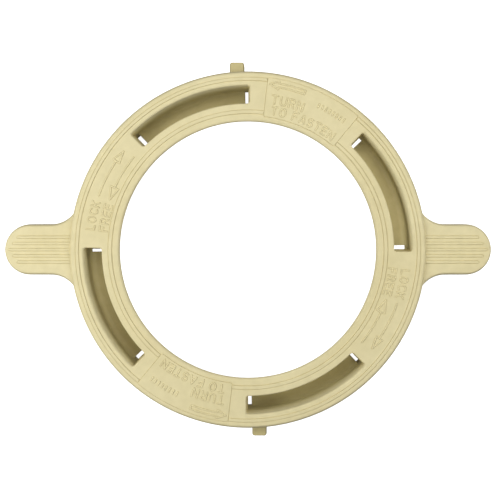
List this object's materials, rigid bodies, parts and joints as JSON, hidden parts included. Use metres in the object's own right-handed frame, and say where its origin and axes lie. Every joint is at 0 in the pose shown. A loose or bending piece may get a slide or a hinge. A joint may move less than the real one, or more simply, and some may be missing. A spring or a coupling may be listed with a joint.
{
  "type": "strainer lid locking ring",
  "caption": "Round cam-and-ramp locking ring with two ribbed handles, ramped windows and index lugs, which clamps a round strainer lid on its pot.",
  "frame": {"origin": "on the ring's axis, in the plane of the lower rim that the ring rests on", "axes": "+Z along the ring's axis, up through its face plate; +X towards the right handle"},
  "size_m": [0.382, 0.298, 0.0348],
  "materials": {
    "almond_plastic": "satin moulded almond plastic"
  },
  "bodies": {
    "root": {"face_plate": "almond_plastic", "inner_bead_left": "almond_plastic", "outer_bead_left": "almond_plastic", "inner_bead_right": "almond_plastic", "outer_bead_right": "almond_plastic", "label_pad_rear": "almond_plastic", "label_pad_front": "almond_plastic", "outer_skirt": "almond_plastic", "cam_wall_1": "almond_plastic", "cam_ramp_1": "almond_plastic", "cam_wall_2": "almond_plastic", "cam_ramp_2": "almond_plastic", "cam_wall_3": "almond_plastic", "cam_ramp_3": "almond_plastic", "cam_wall_4": "almond_plastic", "cam_ramp_4": "almond_plastic", "right_handle": "almond_plastic", "left_handle": "almond_plastic", "index_lug_rear": "almond_plastic", "index_lug_front": "almond_plastic"}
  },
  "joints": []
}
